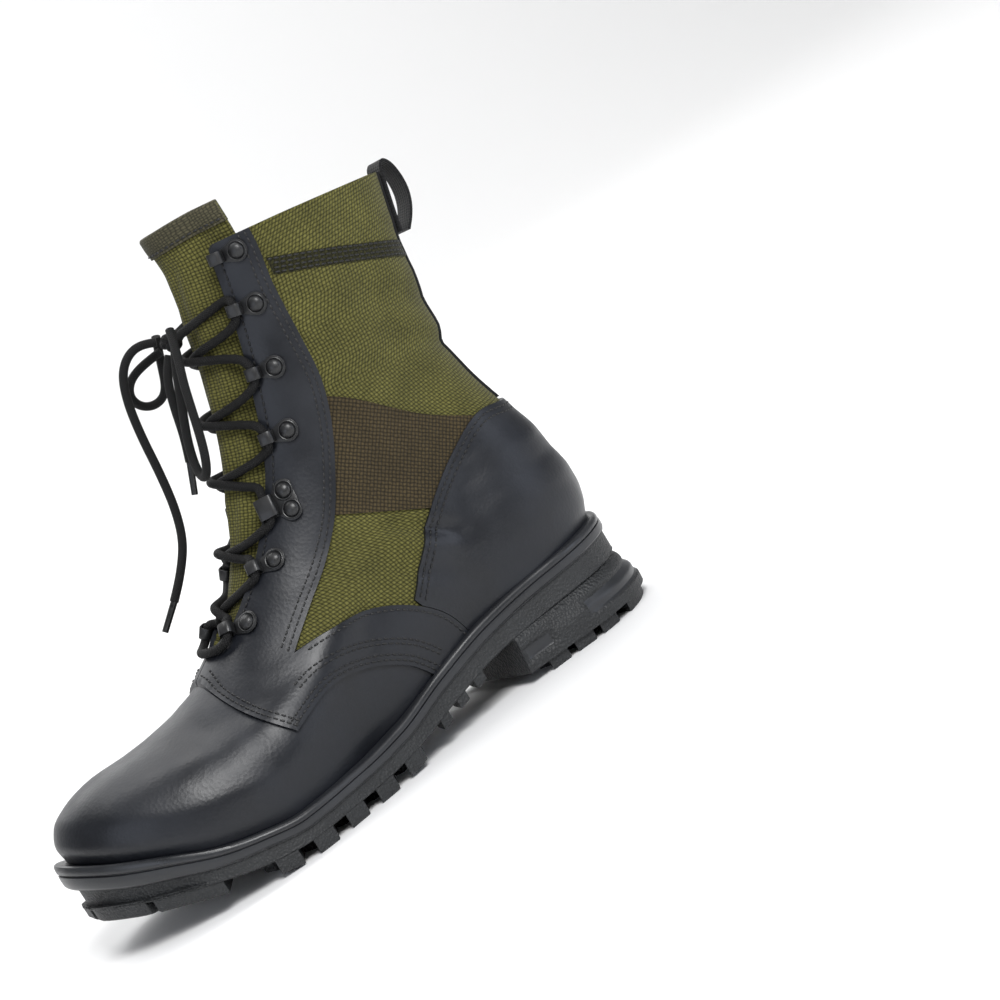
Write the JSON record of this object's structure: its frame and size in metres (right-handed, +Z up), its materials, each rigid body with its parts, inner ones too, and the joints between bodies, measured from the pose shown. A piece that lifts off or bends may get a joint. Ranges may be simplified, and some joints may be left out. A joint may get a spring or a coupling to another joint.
{
  "type": "jungle boot",
  "caption": "Left lace-up jungle boot with canvas shaft, leather overlays, speed-lace loops, tied bow and a lugged rubber sole with heel block.",
  "frame": {"origin": "on the floor under the middle of the heel, where the heel's tread rests", "axes": "+X forward to the toe, +Y to the outer side of the foot, +Z up"},
  "size_m": [0.31, 0.1137, 0.267],
  "materials": {
    "rubber": "black moulded rubber, satin on the rand and heel, grained on the side wall",
    "canvas": "olive-green coarse plain-woven canvas",
    "insole_felt": "black felt",
    "binding": "grey-olive woven tape",
    "leather": "black smooth leather, half gloss",
    "webbing_olive": "brown-olive coarse nylon webbing",
    "webbing_black": "black woven tape",
    "lacquered_metal": "black lacquered steel",
    "lace": "black round braid",
    "aglet": "black shrunk plastic"
  },
  "bodies": {
    "root": {"outsole": "rubber", "upper": "canvas", "insole": "insole_felt", "tongue": "canvas", "tongue_binding": "binding", "eyestay_lateral": "leather", "eyestay_medial": "leather", "web_patch_lateral": "webbing_olive", "web_patch_medial": "webbing_olive", "heel_counter": "leather", "back_tape": "webbing_black", "pull_loop": "webbing_black", "lace_loop_lateral_1": "lacquered_metal", "lace_loop_lateral_2": "lacquered_metal", "lace_clamp_lateral_3": "lacquered_metal", "lace_loop_lateral_4": "lacquered_metal", "lace_loop_lateral_5": "lacquered_metal", "lace_loop_lateral_6": "lacquered_metal", "lace_loop_lateral_7": "lacquered_metal", "lace_loop_medial_1": "lacquered_metal", "lace_loop_medial_2": "lacquered_metal", "lace_clamp_medial_3": "lacquered_metal", "lace_loop_medial_4": "lacquered_metal", "lace_loop_medial_5": "lacquered_metal", "lace_loop_medial_6": "lacquered_metal", "lace_loop_medial_7": "lacquered_metal", "lace_bottom_bar": "lace", "lace_crossing_1": "lace", "lace_crossing_2": "lace", "lace_crossing_3": "lace", "lace_crossing_4": "lace", "lace_crossing_5": "lace", "lace_top_lateral": "lace", "lace_top_medial": "lace", "lace_knot": "lace", "lace_bow_long": "lace", "lace_bow_short": "lace", "lace_end_long": "lace", "lace_end_short": "lace", "aglet_long": "aglet", "aglet_short": "aglet"}
  },
  "joints": []
}
